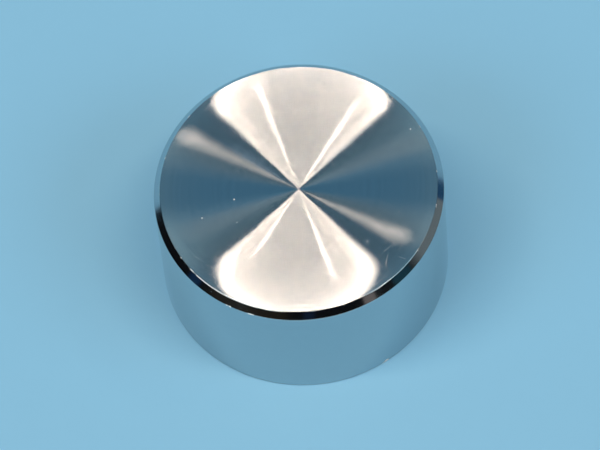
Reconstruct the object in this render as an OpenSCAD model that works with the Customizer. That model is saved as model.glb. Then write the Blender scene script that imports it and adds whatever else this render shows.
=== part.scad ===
// Round control knob: a turned metal shell with a shallow spun face, and a moulded hub
// inside it that pushes onto a potentiometer shaft and is gripped by a split spring ring.
// Millimetres. The origin is the centre of the base, and +Z is the knob's own axis.

/* [Shell] */
// Outside diameter of the knob
knob_d = 40; // [32:0.5:60]
// Height from the base to the edge of the top face
knob_h = 20.8; // [18:0.2:32]
// Width and height of the 45 degree bevel round the top face
bevel = 0.9; // [0.5:0.1:1.5]
// Depth of the shallow hollow turned into the top face
face_dish = 0.35; // [0.1:0.05:0.5]
// Thickness of the side wall
wall = 2; // [1.5:0.1:3]
// Thickness of the top at its edge
roof = 2.4; // [1.5:0.1:3.5]
// Radius that polishing leaves on the two edges of the bevel
edge_round = 0.12; // [0.05:0.01:0.3]
// Radius of the outer edge that stands on the table
foot_round = 0.25; // [0.1:0.05:0.5]
// Bevel inside the mouth of the shell
mouth_bevel = 0.5; // [0.2:0.1:0.8]
// Radius in the corner between the wall and the top, inside
inner_corner = 0.5; // [0.2:0.1:1]

/* [Hub insert] */
// Gap all round between the insert and the shell, filled by the bond
bond_gap = 0.05; // [0.02:0.01:0.15]
// How far the insert lies above the base
insert_recess = 1.2; // [0.6:0.1:2]
// Wall of the insert's outer ring
ring_wall = 1.4; // [1:0.1:2]
// Thickness of the plate that seats under the top of the shell
plate = 1.8; // [1.2:0.1:2.5]
// Number of ribs between the boss and the ring
rib_count = 6; // [4:1:8]
// Thickness of a rib
rib_t = 1.2; // [0.8:0.1:1.8]
// How far the ribs' lower edges lie inside the mouth of the insert
rib_recess = 1.6; // [1:0.1:3]
// Radius at which a rib's lower edge starts to slope up towards the boss
rib_knee_r = 12; // [10:0.5:13]
// Outside diameter of the boss
boss_d = 10.4; // [9:0.1:12]
// Draft of the ribs, the ring's inner wall and the boss, in degrees
draft = 0.5; // [0.25:0.25:0.75]
// Fillet where the plate meets the outer ring and the boss
root_fillet = 0.6; // [0.3:0.1:1]
// Fillet where the plate meets a rib
rib_fillet = 0.4; // [0.2:0.1:0.8]
// Diameter of the round pads that the ejector pins leave on the plate
ejector_d = 2.4; // [1.5:0.1:3]
// Height of the pads
ejector_h = 0.15; // [0.1:0.05:0.3]
// Distance of the pads from the axis
ejector_at = 11; // [9:0.5:13]

/* [Shaft hole] */
// Diameter of the shaft that the knob pushes onto
shaft_d = 6; // [5:0.1:6.4]
// Clearance between the hole and the shaft, on the radius
shaft_fit = 0.03; // [0.01:0.01:0.1]
// Depth of the hole from the mouth of the boss
bore_depth = 13; // [10:0.5:14]
// Lead-in bevel at the mouth of the hole
lead_in = 0.5; // [0.3:0.1:0.8]
// Width of the two slits that let the boss close on the shaft
slit_w = 0.8; // [0.5:0.1:1.2]
// Depth of the slits from the mouth of the boss
slit_depth = 8.4; // [7:0.2:9]

/* [Spring ring] */
// Thickness of the spring strip
spring_t = 0.6; // [0.4:0.05:0.8]
// Width of the spring strip, along the shaft
spring_w = 3; // [2:0.1:4]
// Gap between the ends of the ring
spring_gap = 2.4; // [1.5:0.1:4]
// Depth of the groove in the boss that holds the ring
groove_depth = 0.4; // [0.2:0.05:0.5]
// Clearance beside the ring in its groove
spring_fit = 0.1; // [0.05:0.05:0.2]
// Width of the lip between the groove and the mouth of the boss
boss_lip = 1.4; // [1:0.1:2]
// Bevel on the outer edge of the lip, over which the ring is pushed on
lip_bevel = 0.4; // [0.2:0.1:0.6]
// Radius on the long edges of the rolled strip
strip_round = 0.12; // [0.05:0.01:0.15]
// Radius on the corners of the strip's two ends
end_round = 0.6; // [0.3:0.1:0.8]

/* [Hidden] */

turned_fn = 180;
// Overrun of a cut past the face that it opens
over = 1;
// Straight pieces in a small edge radius, and in the curve of the dished face
edge_steps = 4;
dish_steps = 16;

knob_r = knob_d / 2;
face_r = knob_r - bevel;
cavity_r = knob_r - wall;
cavity_top = knob_h - roof;

insert_r = cavity_r - bond_gap;
ring_in_r = insert_r - ring_wall;
plate_under = cavity_top - plate;
// The insert's top edge is bevelled to pass the radius in the shell's inner corner
seat_bevel = inner_corner + bond_gap;
rib_low = insert_recess + rib_recess;

boss_r = boss_d / 2;
bore_r = shaft_d / 2 + shaft_fit;
bore_top = insert_recess + bore_depth;
slit_top = insert_recess + slit_depth;
// A rib meets the boss above the slits, so that the slit part stays free to close
rib_root = slit_top + rib_t / 2;
// A rib is thinnest at its lower edge
rib_edge_t = rib_t - 2 * lean(plate_under - rib_low);
// The ribs run this far into the boss, the ring and the plate
rib_start = boss_r - groove_depth;
rib_end = ring_in_r + ring_wall / 2;
rib_top = plate_under + plate / 2;
// Inner radius of the ring and radius of the boss where they meet the plate
ring_root_r = ring_in_r - lean(plate_under - insert_recess);
boss_root_r = boss_r + lean(plate_under - slit_top);

groove_r = boss_r - groove_depth;
groove_low = insert_recess + boss_lip;
groove_w = spring_w + 2 * spring_fit;
spring_low = groove_low + spring_fit;

// How far a wall with draft leans over a given height
function lean(height) = height * tan(draft);

// Points of an arc round centre c
function arc(c, r, from, to, steps) =
    [for (i = [0:steps]) let (a = from + (to - from) * i / steps) c + r * [cos(a), sin(a)]];

// The dished face is part of a sphere: its radius and the points from the edge inwards
dish_r = (face_r * face_r + face_dish * face_dish) / (2 * face_dish);
dish_edge_angle = asin(face_r / dish_r);
function dish_points() = arc(
    [0, knob_h - face_dish + dish_r], dish_r, dish_edge_angle - 90, -90, dish_steps);

// A polished edge between two straight lines that meet at 135 degrees
edge_cut = edge_round * tan(22.5);
function side_edge() = arc(
    [knob_r - edge_round, knob_h - bevel - edge_cut], edge_round, 0, 45, edge_steps);
function face_edge() = arc(
    [face_r - edge_cut, knob_h - edge_round], edge_round, 45, 90, edge_steps);
function foot_edge() = arc(
    [knob_r - foot_round, foot_round], foot_round, -90, 0, edge_steps);
function inside_corner() = arc(
    [cavity_r - inner_corner, cavity_top - inner_corner], inner_corner, 90, 0, edge_steps);

// Half section of the shell, with X as the radius
module shell_section() {
    polygon(concat(
        [[cavity_r + mouth_bevel, 0]],
        foot_edge(),
        side_edge(),
        face_edge(),
        [for (p = dish_points()) if (p.x < face_r - 2 * edge_cut) p],
        [[0, cavity_top]],
        inside_corner(),
        [[cavity_r, mouth_bevel]]
    ));
}

module shell() {
    color([0.80, 0.82, 0.84])
        rotate_extrude($fn = turned_fn)
            shell_section();
}

// Plate and outer ring of the insert in one half section
module cup_section() {
    polygon(concat(
        [[0, plate_under]],
        arc([ring_root_r - root_fillet, plate_under - root_fillet], root_fillet, 90, 0, edge_steps),
        [[ring_in_r, insert_recess]],
        [[insert_r, insert_recess]],
        [[insert_r, cavity_top - seat_bevel]],
        [[insert_r - seat_bevel, cavity_top]],
        [[0, cavity_top]]
    ));
}

// Half section of the boss, with the groove for the ring and the blind shaft hole
module boss_section() {
    polygon(concat(
        [[bore_r + lead_in, insert_recess]],
        [[boss_r - lip_bevel, insert_recess]],
        [[boss_r, insert_recess + lip_bevel]],
        [[boss_r, groove_low]],
        [[groove_r, groove_low]],
        [[groove_r, groove_low + groove_w]],
        [[boss_r, groove_low + groove_w]],
        [[boss_r, slit_top]],
        arc([boss_root_r + root_fillet, plate_under - root_fillet], root_fillet, 180, 90, edge_steps),
        [[boss_root_r + root_fillet, rib_top]],
        [[0, rib_top]],
        [[0, bore_top]],
        [[bore_r, bore_top]],
        [[bore_r, insert_recess + lead_in]]
    ));
}

// Outline of a rib from the side. Its lower edge slopes up to clear the slit part of the boss.
module rib_side() {
    polygon([
        [rib_start, rib_root],
        [rib_knee_r, rib_low],
        [rib_end, rib_low],
        [rib_end, rib_top],
        [rib_start, rib_top]
    ]);
}

// Half of a rib from its end, from the thin lower edge up to the fillet at the plate
function rib_flank() = concat(
    [[rib_edge_t / 2, rib_low]],
    arc([rib_t / 2 + rib_fillet, plate_under - rib_fillet], rib_fillet, 180, 90, edge_steps),
    [[rib_t / 2 + rib_fillet, rib_top]]
);

module rib_section() {
    flank = rib_flank();
    last = len(flank) - 1;
    polygon(concat(flank, [for (i = [0:last]) [-flank[last - i].x, flank[last - i].y]]));
}

// One rib, standing along +X
module rib() {
    breadth = rib_t + 2 * rib_fillet;
    intersection() {
        translate([0, breadth / 2, 0])
            rotate([90, 0, 0])
                linear_extrude(breadth)
                    rib_side();
        rotate([90, 0, 90])
            linear_extrude(rib_end)
                rib_section();
    }
}

module hub_insert() {
    color([0.09, 0.09, 0.10])
        difference() {
            union() {
                rotate_extrude($fn = turned_fn)
                    cup_section();
                rotate_extrude($fn = turned_fn)
                    boss_section();
                for (i = [0:rib_count - 1])
                    rotate([0, 0, (i + 0.5) * 360 / rib_count])
                        rib();
                // Each pocket between two ribs has the pad of one ejector pin
                for (i = [0:rib_count - 1])
                    rotate([0, 0, i * 360 / rib_count])
                        translate([ejector_at, 0, plate_under - ejector_h])
                            cylinder(h = ejector_h + plate / 2, d = ejector_d, $fn = 48);
            }
            // The slits cross the boss along X
            translate([-boss_r - over, -slit_w / 2, insert_recess - over])
                cube([2 * (boss_r + over), slit_w, slit_depth + over]);
        }
}

// Section of the rolled strip, with X as the radius
module strip_section() {
    inner = groove_r + strip_round;
    outer = groove_r + spring_t - strip_round;
    upper = spring_w - strip_round;
    polygon(concat(
        arc([inner, strip_round], strip_round, 180, 270, edge_steps),
        arc([outer, strip_round], strip_round, 270, 360, edge_steps),
        arc([outer, upper], strip_round, 0, 90, edge_steps),
        arc([inner, upper], strip_round, 90, 180, edge_steps)
    ));
}

// What is cut out between the ends of the strip, seen along the gap: half of the outline
function gap_side() = concat(
    [[spring_gap / 2 + end_round, -over]],
    arc([spring_gap / 2 + end_round, end_round], end_round, 270, 180, edge_steps),
    arc([spring_gap / 2 + end_round, spring_w - end_round], end_round, 180, 90, edge_steps),
    [[spring_gap / 2 + end_round, spring_w + over]]
);

module gap_outline() {
    side = gap_side();
    last = len(side) - 1;
    polygon(concat(side, [for (i = [0:last]) [-side[last - i].x, side[last - i].y]]));
}

// The ring lies on the floor of the groove, with its gap a quarter turn from the slits
module spring_ring() {
    color([0.62, 0.63, 0.65])
        translate([0, 0, spring_low])
            difference() {
                rotate_extrude($fn = turned_fn)
                    strip_section();
                translate([0, boss_d, 0])
                    rotate([90, 0, 0])
                        linear_extrude(boss_d)
                            gap_outline();
            }
}

shell();
hub_insert();
spring_ring();
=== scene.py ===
import math

import bmesh
import bpy
from bpy.props import FloatProperty, FloatVectorProperty, IntProperty, PointerProperty
from mathutils import Matrix, Vector


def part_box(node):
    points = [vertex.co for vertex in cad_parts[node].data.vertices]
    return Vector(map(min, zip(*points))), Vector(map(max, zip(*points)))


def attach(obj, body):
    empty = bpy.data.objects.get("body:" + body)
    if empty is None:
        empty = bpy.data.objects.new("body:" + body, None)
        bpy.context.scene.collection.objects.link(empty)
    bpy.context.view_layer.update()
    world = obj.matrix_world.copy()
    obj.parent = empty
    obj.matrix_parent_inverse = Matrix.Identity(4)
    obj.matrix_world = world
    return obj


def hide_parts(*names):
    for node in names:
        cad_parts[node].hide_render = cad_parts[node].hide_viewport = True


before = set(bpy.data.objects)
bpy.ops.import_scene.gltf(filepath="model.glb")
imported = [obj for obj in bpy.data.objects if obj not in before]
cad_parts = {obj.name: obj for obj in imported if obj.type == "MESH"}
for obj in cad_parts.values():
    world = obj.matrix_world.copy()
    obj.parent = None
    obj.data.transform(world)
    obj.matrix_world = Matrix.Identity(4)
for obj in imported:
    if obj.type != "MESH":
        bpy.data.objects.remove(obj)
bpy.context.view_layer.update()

bl_info = {
    "name": "Control Knob",
    "version": (1, 0, 0),
    "blender": (4, 5, 0),
    "location": "3D View > Sidebar > Knob",
    "description": "Dresses a turned metal control knob with a moulded push-on hub",
    "category": "Object",
}

SHELL_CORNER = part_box("shell")[1]
SHELL_RADIUS, SHELL_HEIGHT = SHELL_CORNER[0], SHELL_CORNER[2]

MM = 0.001
BODY = "root"
# Steps of one rounding, and steps from the middle of the face to its edge
FILLET_STEPS = 6
FACE_STEPS = 48
# Gap between the end of a rounding and the corner that supports it
SUPPORT = 0.03 * MM
# Share of a length along a 45 degree slant
DIAGONAL = 0.7071
# A distance that counts as nothing, and one that tells two heights or radii apart
TINY = 1e-6
TOLERANCE = 1e-5
# Keeps a whole number from being rounded down
NUDGE = 1e-4


def linear(red, green, blue):
    """Linear light from a colour given as screen values from 0 to 255."""
    shares = (value / 255 for value in (red, green, blue))
    return tuple(c / 12.92 if c <= 0.04045 else ((c + 0.055) / 1.055) ** 2.4 for c in shares)


def scaled(numbers, factor):
    """Each number of a colour or a place times a factor."""
    return tuple(number * factor for number in numbers)


# Node trees written as expressions

class Signal:
    """An output socket of a node tree. Arithmetic on it adds Math nodes to the tree."""

    def __init__(self, tree, socket):
        self.tree = tree
        self.socket = socket

    def math(self, operation, *values):
        return self.tree.add("ShaderNodeMath", {"operation": operation}, (self, *values))

    def __add__(self, other):
        return self.math("ADD", other)

    __radd__ = __add__

    def __sub__(self, other):
        return self.math("SUBTRACT", other)

    def __rsub__(self, other):
        return self.tree.add("ShaderNodeMath", {"operation": "SUBTRACT"}, (other, self))

    def __mul__(self, other):
        return self.math("MULTIPLY", other)

    __rmul__ = __mul__

    def __truediv__(self, other):
        return self.math("DIVIDE", other)

    def __pow__(self, other):
        return self.math("POWER", other)

    def __lt__(self, other):
        return self.math("LESS_THAN", other)

    def __gt__(self, other):
        return self.math("GREATER_THAN", other)


class Tree:
    """Adds nodes to a node tree. A value is a number, a tuple, a data-block or a Signal."""

    def __init__(self, node_tree):
        self.node_tree = node_tree

    def add(self, kind, settings=None, values=(), output=0):
        """A node with its settings set first, then its sockets by order or by name."""
        node = self.node_tree.nodes.new(kind)
        for name, value in (settings or {}).items():
            setattr(node, name, value)
        pairs = values.items() if isinstance(values, dict) else enumerate(values)
        for key, value in pairs:
            self.put(node.inputs[key], value)
        if output is None:
            return node
        return Signal(self, node.outputs[output])

    def put(self, socket, value):
        if isinstance(value, Signal):
            self.node_tree.links.new(value.socket, socket)
        elif socket.type == "RGBA":
            socket.default_value = (*value[:3], 1.0)
        else:
            socket.default_value = value

    def vector(self, operation, *values):
        output = 1 if operation in {"LENGTH", "DOT_PRODUCT", "DISTANCE"} else 0
        return self.add("ShaderNodeVectorMath", {"operation": operation}, values, output)

    def combine(self, *values):
        return self.add("ShaderNodeCombineXYZ", None, values)

    def separate(self, vector):
        node = self.add("ShaderNodeSeparateXYZ", None, (vector,), None)
        return tuple(Signal(self, socket) for socket in node.outputs)

    def mix(self, factor, first, second):
        """A colour that goes from first to second as factor goes from 0 to 1."""
        return self.add(
            "ShaderNodeMix", {"data_type": "RGBA"}, {0: factor, 6: first, 7: second}, 2)

    def rise(self, value, low, high):
        """0 below low and 1 above high, with a smooth rise between them."""
        return self.add(
            "ShaderNodeMapRange", {"interpolation_type": "SMOOTHSTEP"},
            {"Value": value, "From Min": low, "From Max": high})

    def noise(self, vector, scale, detail=2.0, roughness=0.5):
        """Noise between 0 and 1, by place in metres."""
        return self.add(
            "ShaderNodeTexNoise", None,
            {"Vector": vector, "Scale": scale, "Detail": detail, "Roughness": roughness})

    def noise_along(self, length, scale, detail, roughness):
        """Noise between 0 and 1 that changes along one length only."""
        return self.add(
            "ShaderNodeTexNoise", {"noise_dimensions": "1D"},
            {"W": length, "Scale": scale, "Detail": detail, "Roughness": roughness})

    def place(self):
        return self.add("ShaderNodeTexCoord", output="Object")


def flat_length(x, y):
    """Length of a flat vector, such as a point's distance from the knob's axis."""
    return (x * x + y * y).math("SQRT")


def new_material(name):
    material = bpy.data.materials.new(name)
    material.use_nodes = True
    material.node_tree.nodes.clear()
    return material, Tree(material.node_tree)


def finish_surface(tree, surface):
    tree.add("ShaderNodeOutputMaterial", None, {"Surface": surface}, None)


def principled(tree, **values):
    """A Principled shader. Underscores in the names stand for the spaces of its sockets."""
    named = {name.replace("_", " "): value for name, value in values.items()}
    return tree.add("ShaderNodeBsdfPrincipled", None, named)


# Settings that a user would change

class KnobShellSettings(bpy.types.PropertyGroup):
    bevel: FloatProperty(
        name="Bevel", description="Width of the bevel round the face",
        default=0.9 * MM, unit="LENGTH")
    dish: FloatProperty(
        name="Dish", description="Depth of the hollow turned into the face",
        default=0.35 * MM, unit="LENGTH")
    wall: FloatProperty(
        name="Wall", description="Thickness of the side wall", default=2 * MM, unit="LENGTH")
    roof: FloatProperty(
        name="Roof", description="Thickness of the top at its edge",
        default=2.4 * MM, unit="LENGTH")
    edge_round: FloatProperty(
        name="Edge Round", description="Radius on the bevel's edges",
        default=0.12 * MM, unit="LENGTH")
    foot_round: FloatProperty(
        name="Foot Round", description="Radius on the edge that stands on the table",
        default=0.25 * MM, unit="LENGTH")
    mouth_bevel: FloatProperty(
        name="Mouth Bevel", description="Bevel inside the mouth",
        default=0.5 * MM, unit="LENGTH")
    inner_corner: FloatProperty(
        name="Inner Corner", description="Radius between wall and roof, inside",
        default=0.5 * MM, unit="LENGTH")
    segments: IntProperty(
        name="Segments", description="Steps round the knob", default=360, min=64)
    metal: FloatVectorProperty(
        name="Metal", description="Colour that the bare metal reflects",
        default=(0.60, 0.63, 0.66), subtype="COLOR", min=0, max=1)
    polish: FloatVectorProperty(
        name="Polish", description="Colour that the polished side and bevel reflect",
        default=(0.51, 0.57, 0.60), subtype="COLOR", min=0, max=1)
    groove_pitch: FloatProperty(
        name="Groove Pitch", description="Distance between two turning grooves",
        default=0.11 * MM, unit="LENGTH")
    groove_slope: FloatProperty(
        name="Groove Slope", description="Steepest flank of a groove near the centre",
        default=0.509, min=0)
    rim_fade: FloatProperty(
        name="Rim Fade", description="How much flatter the grooves are at the rim",
        default=0.139, min=0)


class KnobHubSettings(bpy.types.PropertyGroup):
    plastic: FloatVectorProperty(
        name="Plastic", description="Colour of the moulded insert",
        default=linear(54, 55, 58), subtype="COLOR", min=0, max=1)


class KnobRingSettings(bpy.types.PropertyGroup):
    steel: FloatVectorProperty(
        name="Steel", description="Colour that the spring strip reflects",
        default=(0.56, 0.57, 0.58), subtype="COLOR", min=0, max=1)


class KnobStageSettings(bpy.types.PropertyGroup):
    floor: FloatVectorProperty(
        name="Floor", description="Colour of the floor",
        default=linear(138, 194, 225), subtype="COLOR", min=0, max=1)
    elevation: FloatProperty(
        name="Elevation", description="Height of the camera above the horizon",
        default=math.radians(61.5), subtype="ANGLE")
    roll: FloatProperty(
        name="Roll", description="Turn of the camera about its line of sight",
        default=math.radians(-5.92), subtype="ANGLE")
    distance: FloatProperty(
        name="Distance", description="From the camera to the middle of the face",
        default=0.7862, unit="LENGTH")
    lamp_height: FloatProperty(
        name="Lamp Height", description="From the face up to the lamps",
        default=2.5, unit="LENGTH")
    strip_radiance: FloatProperty(
        name="Strip Light", description="Brightness of the long lamp's surface", default=31)
    fill_radiance: FloatProperty(
        name="Softbox", description="Brightness of the soft lamps beside the camera",
        default=3.2)


# The shell: a half section with rounded corners, turned about the knob's axis

SHELL_LENGTHS = ("Radius", "Height", "Bevel", "Dish", "Wall", "Roof", "Edge Round",
                 "Foot Round", "Mouth Bevel", "Inner Corner")
SHELL_FINISHES = ("Polished", "Spun", "Inside")


def shell_corners(given):
    """Radius, height and rounding of each corner of the half section, from the axis out.

    A second corner on the straight beside a rounded one keeps the shading of the straight
    even, because the rounding ends there."""
    radius, height, bevel = given["Radius"], given["Height"], given["Bevel"]
    edge, foot, inner = given["Edge Round"], given["Foot Round"], given["Inner Corner"]
    face_r = radius - bevel
    cavity_r = radius - given["Wall"]
    cavity_top = height - given["Roof"]
    mouth = given["Mouth Bevel"]
    beside = edge * 0.5 + SUPPORT
    slant = beside * DIAGONAL
    return (
        (0.0, height, 0.0),
        (face_r - beside, height, 0.0),
        (face_r, height, edge),
        (face_r + slant, height - slant, 0.0),
        (radius - slant, height - bevel + slant, 0.0),
        (radius, height - bevel, edge),
        (radius, height - bevel - beside, 0.0),
        (radius, foot + SUPPORT, 0.0),
        (radius, 0.0, foot),
        (radius - foot - SUPPORT, 0.0, 0.0),
        (cavity_r + mouth + beside, 0.0, 0.0),
        (cavity_r + mouth, 0.0, edge),
        (cavity_r, mouth, edge),
        (cavity_r, mouth + beside, 0.0),
        (cavity_r, cavity_top - inner - SUPPORT, 0.0),
        (cavity_r, cavity_top, inner),
        (cavity_r - inner - SUPPORT, cavity_top, 0.0),
        (0.0, cavity_top, 0.0),
    )


def pick(tree, index, values):
    """A number chosen from values by index."""
    node = tree.add("GeometryNodeIndexSwitch", {"data_type": "FLOAT"}, output=None)
    while len(node.index_switch_items) < len(values):
        node.index_switch_items.new()
    tree.put(node.inputs[0], index)
    for number, value in enumerate(values):
        tree.put(node.inputs[number + 1], value)
    return Signal(tree, node.outputs[0])


def shell_tree():
    group = bpy.data.node_groups.new("Turned Shell", "GeometryNodeTree")
    tree = Tree(group)
    interface = group.interface
    for name in SHELL_LENGTHS:
        interface.new_socket(name, in_out="INPUT", socket_type="NodeSocketFloat")
    for name in ("Segments", "Face Steps"):
        interface.new_socket(name, in_out="INPUT", socket_type="NodeSocketInt")
    for name in SHELL_FINISHES:
        interface.new_socket(name, in_out="INPUT", socket_type="NodeSocketMaterial")
    interface.new_socket("Geometry", in_out="OUTPUT", socket_type="NodeSocketGeometry")
    inputs = tree.add("NodeGroupInput", output=None)
    given = {socket.name: Signal(tree, socket) for socket in inputs.outputs if socket.name}
    height, bevel = given["Height"], given["Bevel"]
    face_r = given["Radius"] - bevel
    cavity_r = given["Radius"] - given["Wall"]
    cavity_top = height - given["Roof"]

    # The section as a chain of straight lines and arcs
    index = tree.add("GeometryNodeInputIndex")
    corners = shell_corners(given)
    across, up, rounding = (
        pick(tree, index, [corner[column] for corner in corners]) for column in range(3))
    points = tree.add(
        "GeometryNodePoints", None,
        {"Count": len(corners), "Position": tree.combine(across, up, 0.0)})
    section = tree.add("GeometryNodePointsToCurves", None, {"Points": points})
    section = tree.add(
        "GeometryNodeFilletCurve", {"mode": "POLY"},
        {"Curve": section, "Count": FILLET_STEPS, "Radius": rounding, "Limit Radius": True})
    section = tree.add(
        "GeometryNodeSubdivideCurve", None,
        {"Curve": section, "Cuts": (index < 1) * given["Face Steps"]})

    # The middle of the face is turned slightly hollow
    along, level, _ = tree.separate(tree.add("GeometryNodeInputPosition"))
    share = along / face_r
    sink = (share * share - 1.0).math("MINIMUM", 0.0) * given["Dish"]
    section = tree.add(
        "GeometryNodeSetPosition", None,
        {"Geometry": section, "Selection": level > height - bevel * 0.5,
         "Offset": tree.combine(0.0, sink, 0.0)})

    # A sheet of points, one row for each point of the section, is wrapped round the axis
    rows = tree.add("GeometryNodeAttributeDomainSize", {"component": "CURVE"}, (section,))
    columns = given["Segments"] + 1
    sheet = tree.add(
        "GeometryNodeMeshGrid", None, {"Vertices X": rows, "Vertices Y": columns})
    row = (index / columns + NUDGE).math("FLOOR")
    turn = (index - row * columns) / given["Segments"] * math.tau
    sampled = tree.add(
        "GeometryNodeSampleIndex", {"data_type": "FLOAT_VECTOR", "domain": "POINT"},
        {"Geometry": section, "Value": tree.add("GeometryNodeInputPosition"), "Index": row})
    out, level, _ = tree.separate(sampled)
    turned = tree.add(
        "GeometryNodeSetPosition", None,
        {"Geometry": sheet,
         "Position": tree.combine(out * turn.math("COSINE"), out * turn.math("SINE"), level)})
    turned = tree.add("GeometryNodeMergeByDistance", None, {"Geometry": turned, "Distance": TINY})
    turned = tree.add("GeometryNodeSetShadeSmooth", None, {"Geometry": turned})
    turned = tree.add("GeometryNodeRealizeInstances", None, {"Geometry": turned})

    # Three finishes: polished outside, spun face, plain turned inside
    x, y, z = tree.separate(tree.add("GeometryNodeInputPosition"))
    away = flat_length(x, y)
    on_face = (z > height - bevel * 0.4) * (away < face_r)
    inside = (z < cavity_top + TOLERANCE) * (away < cavity_r + given["Mouth Bevel"])
    for finish, part in (("Polished", True), ("Spun", on_face), ("Inside", inside)):
        turned = tree.add(
            "GeometryNodeSetMaterial", None,
            {"Geometry": turned, "Selection": part, "Material": given[finish]})
    tree.add("NodeGroupOutput", None, {"Geometry": turned}, None)
    return group


def from_nodes(name, group, values):
    """A plain mesh object made by a node tree, whose inputs are set by name."""
    maker = bpy.data.objects.new(name + "_maker", bpy.data.meshes.new(name + "_start"))
    bpy.context.scene.collection.objects.link(maker)
    modifier = maker.modifiers.new("Nodes", "NODES")
    modifier.node_group = group
    for socket in group.interface.items_tree:
        if socket.in_out == "INPUT" and socket.name in values:
            modifier[socket.identifier] = values[socket.name]
    bpy.context.view_layer.update()
    evaluated = maker.evaluated_get(bpy.context.evaluated_depsgraph_get())
    mesh = bpy.data.meshes.new_from_object(evaluated)
    mesh.name = name
    maker.modifiers.remove(modifier)
    bpy.data.objects.remove(maker)
    point_outwards(mesh)
    piece = bpy.data.objects.new(name, mesh)
    bpy.context.scene.collection.objects.link(piece)
    return piece


def point_outwards(mesh):
    work = bmesh.new()
    work.from_mesh(mesh)
    bmesh.ops.recalc_face_normals(work, faces=work.faces)
    work.to_mesh(mesh)
    work.free()


# Finishes

# Marks of use: place in millimetres, then radius
FACE_FLECKS = (
    ((-8.96, -0.61, 20.53), 0.12), ((-13.6, -3.05, 20.64), 0.10), ((8.61, -9.28, 20.60), 0.11),
    ((16.2, 7.42, 20.75), 0.10), ((-8.88, -4.23, 20.54), 0.07), ((-3.41, -10.48, 20.57), 0.06),
    ((-3, 5.6, 20.49), 0.05), ((5.1, 3.2, 20.48), 0.05), ((-12.7, 9.9, 20.70), 0.05),
    ((13.4, -5.2, 20.65), 0.05),
)
EDGE_CHIPS = (
    ((-8.53, -18.17, 19.88), 0.17), ((-8.25, -18.29, 19.88), 0.20), ((-7.97, -18.41, 19.88), 0.16),
    ((-11.41, -16.46, 19.87), 0.16), ((-10.99, -16.74, 19.86), 0.18),
    ((-13.3, -14.5, 20.4), 0.13), ((9.72, -17.48, 0.22), 0.50), ((9.3, -17.7, 0.15), 0.24),
    ((-2.9, -19.8, 0.12), 0.12),
)
# Fine scratches on the face: both ends, in millimetres
FACE_SCRATCHES = (
    ((10.7, -11.1), (11.6, -10.4)), ((11.6, -10.4), (12.7, -10.2)),
    ((11.2, -11.6), (10.8, -12.9)), ((10.8, -12.9), (10.9, -13.5)),
    ((12.6, -12.2), (13.5, -12.6)),
    ((-15.2, -8.9), (-14.3, -9.5)),
)
FACE_SCRATCH_WIDTH = 0.035 * MM

# Colours of a fleck on the face, and of metal laid open along an edge, which also serves for
# painted highlight lines along the bevel's front edges
FLECK = (0.92, 0.92, 0.90)
BARE_AND_HIGHLIGHT = (0.93, 0.91, 0.88)

# A turning groove: how rounded its flanks are, how close to the rim they flatten, how much
# steeper the flank that faces the axis is, and the widest radius of the smooth middle
FLANK_ROUNDNESS = 1.6
RIM_POWER = 4.4
INNER_FLANK = 1.023
SMOOTH_MIDDLE = 0.15 * MM
FACE_ROUGHNESS = 0.09


def spots(tree, place, marks):
    """1 inside any of the marks, with a soft ragged edge."""
    ragged = tree.noise(place, scale=9000.0, detail=1.0) * 0.8 + 0.6
    mask = 0.0
    for centre, radius in marks:
        away = tree.vector("DISTANCE", place, scaled(centre, MM)) * ragged
        spot = 1.0 - tree.rise(away, 0.6 * radius * MM, radius * MM)
        mask = spot.math("MAXIMUM", mask)
    return mask


def scratches(tree, x, y, lines, width):
    """1 on any of the lines, which are given by their ends."""
    mask = 0.0
    for start, end in lines:
        start, end = (Vector(point) * MM for point in (start, end))
        along = (end - start).normalized()
        from_start_x, from_start_y = x - start.x, y - start.y
        forward = from_start_x * along.x + from_start_y * along.y
        beside = (from_start_x * along.y - from_start_y * along.x).math("ABSOLUTE")
        middle = (end - start).length / 2
        beyond = ((forward - middle).math("ABSOLUTE") - middle).math("MAXIMUM", 0.0)
        line = 1.0 - tree.rise(beside + beyond, 0.0, width)
        mask = line.math("MAXIMUM", mask)
    return mask


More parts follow.
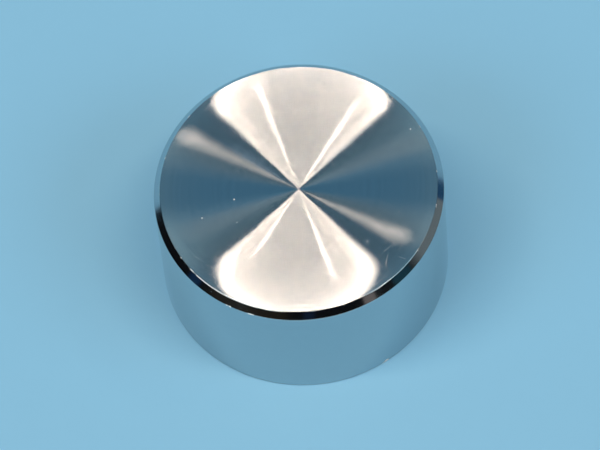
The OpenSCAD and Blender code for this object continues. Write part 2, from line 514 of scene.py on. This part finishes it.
def spun_face(settings):
    """Fine turning grooves. Their flanks fan the lamps out into bright sectors."""
    material, tree = new_material("spun_face")
    place = tree.place()
    x, y, _ = tree.separate(place)
    radius = flat_length(x, y).math("MAXIMUM", TINY)
    face_r = SHELL_RADIUS - settings.bevel
    share = radius / face_r

    # Slope of a flank: a rounded wave along the radius, flatter towards the rim
    wave = (radius * (2 / settings.groove_pitch)).math("PINGPONG", 1.0)
    wave = 1.0 - (1.0 - wave) ** FLANK_ROUNDNESS
    cut = tree.noise_along(radius, scale=2300.0, detail=3.0, roughness=0.7)
    steepest = settings.groove_slope - (share ** RIM_POWER) * settings.rim_fade
    steepest = steepest * (cut * 0.10 + 0.95)
    flank = wave * steepest * tree.rise(radius, 0.2 * SMOOTH_MIDDLE, SMOOTH_MIDDLE)
    dish = share * (2 * settings.dish / face_r)

    marks = spots(tree, place, FACE_FLECKS)
    scratched = scratches(tree, x, y, FACE_SCRATCHES, FACE_SCRATCH_WIDTH)
    rings = tree.noise_along(radius, scale=1500.0, detail=2.0, roughness=0.8)
    colour = tree.mix(rings, scaled(settings.metal, 0.96), scaled(settings.metal, 1.04))
    colour = tree.mix(marks, colour, FLECK)
    metallic = 1.0 - marks * 0.9
    roughness = marks * 0.4 + scratched * 0.2 + FACE_ROUGHNESS

    def side_of_groove(slope):
        normal = tree.combine(x / radius * slope * -1.0, y / radius * slope * -1.0, 1.0)
        normal = tree.add(
            "ShaderNodeVectorTransform",
            {"vector_type": "NORMAL", "convert_from": "OBJECT", "convert_to": "WORLD"},
            (tree.vector("NORMALIZE", normal),))
        return principled(
            tree, Base_Color=colour, Metallic=metallic, Roughness=roughness, Normal=normal)

    rising = side_of_groove(flank * INNER_FLANK + dish)
    falling = side_of_groove(dish - flank)
    finish_surface(tree, tree.add("ShaderNodeMixShader", None, (0.5, rising, falling)))
    return material


def edge_wear(tree, place, settings):
    """Masks along the edges: wear of the polish with painted highlight lines at the front, then
    chips and a paler line round the foot.
    """
    x, y, z = tree.separate(place)
    around = tree.noise(place, scale=1100.0, detail=3.0, roughness=0.65)

    # Nicks where the bevel meets the face, and a painted highlight line along that edge at the
    # front left
    at_face = tree.rise(z, SHELL_HEIGHT - 0.16 * MM, SHELL_HEIGHT - 0.05 * MM)
    front_left_highlight = tree.rise(x * -0.56 - y * 0.83, 16.5 * MM, 18.5 * MM)
    wear_and_highlight = tree.rise(around + front_left_highlight * 0.22, 0.60, 0.68) * at_face

    # Painted highlight: a fainter pale line at the front where the bevel meets the side
    from_side = (z - (SHELL_HEIGHT - settings.bevel)).math("ABSOLUTE")
    at_side = 1.0 - tree.rise(from_side, 0.03 * MM, 0.08 * MM)
    wear_and_highlight = wear_and_highlight + tree.rise(y * -1.0, 16.5 * MM, 18.5 * MM) * at_side * 0.35

    # Paler line round the rounding of the foot
    low = 1.0 - tree.rise(z, 0.15 * MM, 0.32 * MM)
    outer = tree.rise(flat_length(x, y), SHELL_RADIUS - 0.15 * MM, SHELL_RADIUS - 0.07 * MM)
    pale_foot_line = low * outer * tree.rise(around, 0.20, 0.50) * 0.6
    return wear_and_highlight, spots(tree, place, EDGE_CHIPS).math("MAXIMUM", pale_foot_line)


def polished_metal(settings):
    """Bright polish with hairlines round the side, nicked along its edges, with painted highlight
    lines along the bevel's front edges.
    """
    material, tree = new_material("polished_metal")
    place = tree.place()
    x, y, z = tree.separate(place)
    haze = tree.noise(place, scale=700.0, detail=3.0, roughness=0.6)
    hairs = tree.noise(
        tree.combine(x * 0.15, y * 0.15, z), scale=6000.0, detail=3.0, roughness=0.7)
    wear_and_highlight, raised = edge_wear(tree, place, settings)
    # Pale where the polish is nicked or chipped, along the foot, and along painted highlight lines
    # at the front edges
    bare_and_highlight = (wear_and_highlight * 0.8).math("MAXIMUM", raised)

    colour = tree.mix(haze * 0.3, tuple(settings.polish), scaled(settings.polish, 0.88))
    colour = tree.mix(bare_and_highlight, colour, BARE_AND_HIGHLIGHT)
    bump = tree.add(
        "ShaderNodeBump", None, {"Strength": 0.12, "Distance": 0.002 * MM, "Height": hairs})
    burr = tree.combine(0.0, 0.0, raised * 1.1)
    normal = tree.vector("NORMALIZE", tree.vector("ADD", bump, burr))
    surface = principled(
        tree, Base_Color=colour, Metallic=1.0 - bare_and_highlight * 0.85,
        Roughness=haze * 0.05 + hairs * 0.04 + bare_and_highlight * 0.4 + 0.04, Normal=normal)
    finish_surface(tree, surface)
    return material


def inside_metal(settings):
    """Bare metal as the lathe left it, with fine lines round the mouth and the cavity."""
    material, tree = new_material("turned_inside")
    place = tree.place()
    x, y, z = tree.separate(place)
    lines = tree.noise_along(flat_length(x, y) + z, scale=5000.0, detail=2.0, roughness=0.7)
    haze = tree.noise(place, scale=1500.0, detail=3.0, roughness=0.6)
    colour = tree.mix(lines, scaled(settings.metal, 0.85), scaled(settings.metal, 1.1))
    surface = principled(
        tree, Base_Color=colour, Metallic=1.0, Roughness=haze * 0.15 + lines * 0.1 + 0.22)
    finish_surface(tree, surface)
    return material


def moulded_plastic(settings):
    """Dark plastic with the fine grain of an eroded mould and faint flow marks."""
    material, tree = new_material("moulded_plastic")
    place = tree.place()
    grain = tree.noise(place, scale=5200.0, detail=3.0, roughness=0.7)
    flow = tree.noise(place, scale=160.0, detail=3.0, roughness=0.6)
    colour = tree.mix(
        tree.rise(flow, 0.35, 0.65), scaled(settings.plastic, 0.86),
        scaled(settings.plastic, 1.14))
    bump = tree.add(
        "ShaderNodeBump", None, {"Strength": 0.45, "Distance": 0.03 * MM, "Height": grain})
    surface = principled(
        tree, Base_Color=colour, Roughness=grain * 0.2 + flow * 0.16 + 0.34, Normal=bump)
    finish_surface(tree, surface)
    return material


def spring_steel(settings):
    """Rolled strip with lines along its length."""
    material, tree = new_material("spring_steel")
    place = tree.place()
    x, y, z = tree.separate(place)
    streaks = tree.noise(
        tree.combine(x * 0.2, y * 0.2, z * 6.0), scale=900.0, detail=3.0, roughness=0.6)
    colour = tree.mix(streaks, scaled(settings.steel, 0.8), scaled(settings.steel, 1.2))
    surface = principled(
        tree, Base_Color=colour, Metallic=1.0, Roughness=streaks * 0.2 + 0.22)
    finish_surface(tree, surface)
    return material


def paint(piece, material):
    """The material goes into every slot of a CAD node, whose mesh stays as it is."""
    if not piece.material_slots:
        piece.data.materials.append(None)
    for slot in piece.material_slots:
        slot.link = "OBJECT"
        slot.material = material


# Operators

class KNOB_OT_shell(bpy.types.Operator):
    """Turn the metal shell, spin its face and polish its side"""
    bl_idname = "knob.shell"
    bl_label = "Turn Shell"

    def execute(self, context):
        settings = context.scene.knob_shell
        values = {
            "Radius": SHELL_RADIUS,
            "Height": SHELL_HEIGHT,
            "Bevel": settings.bevel,
            "Dish": settings.dish,
            "Wall": settings.wall,
            "Roof": settings.roof,
            "Edge Round": settings.edge_round,
            "Foot Round": settings.foot_round,
            "Mouth Bevel": settings.mouth_bevel,
            "Inner Corner": settings.inner_corner,
            "Segments": settings.segments,
            "Face Steps": FACE_STEPS,
            "Polished": polished_metal(settings),
            "Spun": spun_face(settings),
            "Inside": inside_metal(settings),
        }
        shell = from_nodes("turned_shell", shell_tree(), values)
        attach(shell, BODY)
        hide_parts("shell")
        return {"FINISHED"}


class KNOB_OT_hub(bpy.types.Operator):
    """Give the moulded insert its plastic"""
    bl_idname = "knob.hub"
    bl_label = "Mould Hub"

    def execute(self, context):
        paint(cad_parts["hub_insert"], moulded_plastic(context.scene.knob_hub))
        return {"FINISHED"}


class KNOB_OT_ring(bpy.types.Operator):
    """Give the split ring its rolled spring steel"""
    bl_idname = "knob.ring"
    bl_label = "Fit Spring Ring"

    def execute(self, context):
        paint(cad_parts["spring_ring"], spring_steel(context.scene.knob_ring))
        return {"FINISHED"}


# The floor's outer radius, the radius of its hole under the knob, and its steps round
FLOOR_REACH = 3.0
FLOOR_HOLE = 19.7 * MM
FLOOR_STEPS = 64


def floor_finish(colour):
    """Plain matt sheet, clear from below so that the underside can be looked at."""
    material, tree = new_material("floor_sheet")
    fibre = tree.noise(tree.place(), scale=260.0, detail=4.0, roughness=0.6)
    shade = tree.mix(fibre * 0.5, tuple(colour), scaled(colour, 0.97))
    sheet = principled(tree, Base_Color=shade, Roughness=0.9)
    clear = tree.add("ShaderNodeBsdfTransparent")
    below = tree.add("ShaderNodeNewGeometry", output="Backfacing")
    finish_surface(tree, tree.add("ShaderNodeMixShader", None, (below, sheet, clear)))
    return material


def make_floor(colour):
    """A large flat ring. Its hole lies under the knob and lets light reach the underside."""
    work = bmesh.new()
    loops = []
    for radius in (FLOOR_HOLE, FLOOR_REACH):
        turns = [math.tau * step / FLOOR_STEPS for step in range(FLOOR_STEPS)]
        loops.append([
            work.verts.new((radius * math.cos(turn), radius * math.sin(turn), 0.0))
            for turn in turns])
    inner, outer = loops
    for step in range(FLOOR_STEPS):
        after = (step + 1) % FLOOR_STEPS
        work.faces.new((inner[step], outer[step], outer[after], inner[after]))
    mesh = bpy.data.meshes.new("floor")
    work.to_mesh(mesh)
    work.free()
    mesh.materials.append(floor_finish(colour))
    floor = bpy.data.objects.new("floor", mesh)
    bpy.context.scene.collection.objects.link(floor)


# Light that comes from the surroundings
ROOM = (0.063, 0.165, 0.25)
ROOM_TOP = (0.07, 0.124, 0.188)
ROOM_SIDES = (0.12, 0.22, 0.28)
ROOM_RIGHT = (0.185, 0.21, 0.22)
ROOM_LOW = (0.20, 0.35, 0.46)
NEAR_DARK = (0.006, 0.006, 0.007)
NEAR_BROWN = (0.021, 0.016, 0.011)
UNDER_FLOOR = (1.0, 1.03, 1.06)
CEILING = (0.105, 0.215, 0.29)
WALL_MIDDLE = (0.02, 0.13, 0.25)
WALL_ENDS = (0.014, 0.022, 0.035)

# Things in the room: direction, cosines of the outer and inner edge, colour
ROOM_PATCHES = (
    ((0.545, -0.718, 0.434), 0.9970, 0.9985, (0.21, 0.17, 0.16)),
    ((0.815, -0.455, 0.358), 0.991, 0.996, (0.015, 0.050, 0.070)),
    ((-0.924, -0.245, 0.294), 0.996, 0.999, (0.009, 0.030, 0.075)),
    ((-0.025, -0.879, 0.477), 0.9976, 0.9991, (0.0086, 0.016, 0.036)),
    ((-0.666, 0.250, 0.703), 0.9935, 0.9975, (0.32, 0.30, 0.28)),
    ((0.918, 0.395, 0.04), 0.9915, 0.9945, (0.02, 0.07, 0.15)),
)

# Soft glows overhead. A place there is given by the slope of a flank that shows it from
# SIGHT: the way the flank leans in degrees, its slope, reach along and across, colour
SIGHT = (0.0, -0.4772, 0.8788)
GLOWS = (
    (201.0, 0.325, 0.060, 0.125, (0.78, 1.08, 1.10)),
    (334.0, 0.315, 0.065, 0.080, (0.76, 0.92, 0.90)),
    (16.0, 0.32, 0.045, 0.045, (0.30, 0.31, 0.30)),
)


def overhead(tree, way):
    """Colour of the ceiling, teal above and dark towards the walls, and a mask of its reach."""
    across, along, up = tree.separate(tree.vector("ADD", way, SIGHT))
    up = up.math("MAXIMUM", 0.05)
    across, along = across / up, along / up
    slope = flat_length(across, along)
    wall = tree.mix(tree.rise(along.math("ABSOLUTE"), 0.10, 0.22), WALL_MIDDLE, WALL_ENDS)
    colour = tree.mix(tree.rise(slope, 0.35, 0.40), CEILING, wall)
    for lean, centre, reach, spread, glow in GLOWS:
        turn = math.radians(lean)
        out = (across * math.cos(turn) + along * math.sin(turn) - centre) / reach
        beside = (along * math.cos(turn) - across * math.sin(turn)) / spread
        colour = tree.mix(1.0 - tree.rise(flat_length(out, beside), 0.4, 1.0), colour, glow)
    return colour, 1.0 - tree.rise(slope, 0.52, 0.62)


def make_world():
    """Dim surroundings by direction: a teal room, nearly black towards the front."""
    world = bpy.data.worlds.new("room")
    world.use_nodes = True
    world.node_tree.nodes.clear()
    tree = Tree(world.node_tree)
    x, y, z = tree.separate(tree.add("ShaderNodeTexCoord", output="Generated"))
    room = tree.mix(tree.rise(z, 0.80, 0.97), ROOM, ROOM_TOP)
    sides = tree.rise(x.math("ABSOLUTE"), 0.55, 0.8) * (1.0 - tree.rise(z, 0.3, 0.7))
    room = tree.mix(sides, room, ROOM_SIDES)
    near = tree.rise(y * -1.0, -0.50, -0.455) * (1.0 - tree.rise(z, 0.52, 0.60))
    brown = tree.rise(x, -0.9, -0.8) * (1.0 - tree.rise(x, -0.30, -0.15))
    room = tree.mix(near, room, tree.mix(brown, NEAR_DARK, NEAR_BROWN))
    right = tree.rise(x, 0.60, 0.70) * (1.0 - tree.rise(z, 0.30, 0.42))
    right = right * tree.rise(y, -0.42, -0.18)
    room = tree.mix(right, room, ROOM_RIGHT)
    low = (1.0 - tree.rise(z, 0.03, 0.05)) * tree.rise(x, -0.9, -0.6)
    room = tree.mix(low, room, ROOM_LOW)
    way = tree.combine(x, y, z)
    ceiling, reaches = overhead(tree, way)
    room = tree.mix(reaches, room, ceiling)
    for direction, outer, inner, colour in ROOM_PATCHES:
        facing = tree.vector("DOT_PRODUCT", way, Vector(direction).normalized()[:])
        room = tree.mix(tree.rise(facing, outer, inner), room, colour)
    below = 1.0 - tree.rise(z, -0.02, 0.0)
    room = tree.mix(below, room, UNDER_FLOOR)
    background = tree.add("ShaderNodeBackground", None, {"Color": room, "Strength": 1.0})
    tree.add("ShaderNodeOutputWorld", None, {"Surface": background}, None)
    bpy.context.scene.world = world


def add_lamp(name, place, size, radiance, colour, turn=0.0, face=None):
    """A flat lamp. It faces down, or towards the point face. Radiance is that of its surface."""
    data = bpy.data.lights.new(name, "AREA")
    data.shape = "RECTANGLE"
    data.size, data.size_y = size
    data.energy = radiance * math.pi * size[0] * size[1]
    data.color = colour
    lamp = bpy.data.objects.new(name, data)
    lamp.location = place
    if face is None:
        lamp.rotation_euler = (0.0, 0.0, math.radians(turn))
    else:
        lamp.rotation_euler = (Vector(face) - Vector(place)).to_track_quat("-Z", "Y").to_euler()
    bpy.context.scene.collection.objects.link(lamp)
    return lamp


WARM = (1.0, 0.80, 0.635)
COOL = (0.66, 0.88, 1.0)

# The long lamp: place across and along, length and width, all for a height of 1, and its turn
STRIP_PLACE = (-0.0895, -0.1062)
STRIP_SIZE = (1.279, 0.062)
STRIP_TURN = -7.1

# The soft lamps beside the camera: place and size, also for a height of 1
SOFTBOX_PLACE = (1.05, -0.62, 1.05)
SOFTBOX_SIZE = (1.0, 0.66)

# Small lamps over the face: name, place, size, brightness, colour and turn in degrees
LAMPS = (
    ("spot_right", (0.218, -0.359), (0.095, 0.042), 26.0, WARM, -73.7),
    ("spot_left", (-0.600, -0.255), (0.105, 0.046), 26.0, WARM, 46.2),
    ("card_right", (0.745, 0.088), (0.15, 0.15), 5.2, WARM, 20.0),
)


def make_lamps(settings):
    height = settings.lamp_height
    face = Vector((0.0, 0.0, SHELL_HEIGHT))
    strip = ("strip", STRIP_PLACE, STRIP_SIZE, settings.strip_radiance, WARM, STRIP_TURN)
    for name, (x, y), (length, width), radiance, colour, turn in (strip, *LAMPS):
        place = face + Vector((x, y, 1.0)) * height
        add_lamp(name, place, (length * height, width * height), radiance, colour, turn)
    across, along, up = SOFTBOX_PLACE
    length, width = SOFTBOX_SIZE
    for name, side in (("softbox_left", -1), ("softbox_right", 1)):
        place = face + Vector((side * across, along, up)) * height
        add_lamp(name, place, (length * height, width * height), settings.fill_radiance, COOL,
                 face=face)


# The point in the middle of the picture, and the focal length in millimetres
AIM = Vector((-0.33 * MM, 0.0, 10.0 * MM))
LENS = 343.3


def make_camera(settings):
    data = bpy.data.cameras.new("camera")
    data.sensor_width = 36.0
    data.lens = LENS
    data.clip_start = 0.01
    data.clip_end = 20.0
    back = Vector((0.0, -math.cos(settings.elevation), math.sin(settings.elevation)))
    place = Vector((0.0, 0.0, SHELL_HEIGHT)) + back * settings.distance
    looking = (AIM - place).to_track_quat("-Z", "Y").to_matrix().to_4x4()
    camera = bpy.data.objects.new("camera", data)
    camera.matrix_world = (
        Matrix.Translation(place) @ looking @ Matrix.Rotation(settings.roll, 4, "Z"))
    bpy.context.scene.collection.objects.link(camera)
    bpy.context.scene.camera = camera


class KNOB_OT_stage(bpy.types.Operator):
    """Place the floor, the surroundings, the lamps and the camera"""
    bl_idname = "knob.stage"
    bl_label = "Set Stage"

    def execute(self, context):
        settings = context.scene.knob_stage
        make_floor(settings.floor)
        make_world()
        make_lamps(settings)
        make_camera(settings)
        context.scene.view_settings.view_transform = "Standard"
        return {"FINISHED"}


class KNOB_PT_panel(bpy.types.Panel):
    """Settings and steps of the control knob"""
    bl_idname = "KNOB_PT_panel"
    bl_label = "Control Knob"
    bl_space_type = "VIEW_3D"
    bl_region_type = "UI"
    bl_category = "Knob"

    def draw(self, context):
        for operator, group in STEPS:
            box = self.layout.box()
            settings = getattr(context.scene, group)
            for name in settings.bl_rna.properties.keys():
                if name not in {"rna_type", "name"}:
                    box.prop(settings, name)
            box.operator(operator.bl_idname)


STEPS = (
    (KNOB_OT_stage, "knob_stage"),
    (KNOB_OT_shell, "knob_shell"),
    (KNOB_OT_hub, "knob_hub"),
    (KNOB_OT_ring, "knob_ring"),
)
SETTINGS = {
    "knob_stage": KnobStageSettings,
    "knob_shell": KnobShellSettings,
    "knob_hub": KnobHubSettings,
    "knob_ring": KnobRingSettings,
}
CLASSES = (*SETTINGS.values(), *(operator for operator, _ in STEPS), KNOB_PT_panel)


def register():
    for cls in CLASSES:
        bpy.utils.register_class(cls)
    for name, group in SETTINGS.items():
        setattr(bpy.types.Scene, name, PointerProperty(type=group))


def unregister():
    for name in SETTINGS:
        delattr(bpy.types.Scene, name)
    for cls in reversed(CLASSES):
        bpy.utils.unregister_class(cls)


def main():
    register()
    bpy.ops.knob.stage()
    bpy.ops.knob.shell()
    bpy.ops.knob.hub()
    bpy.ops.knob.ring()


if __name__ == "__main__":
    main()
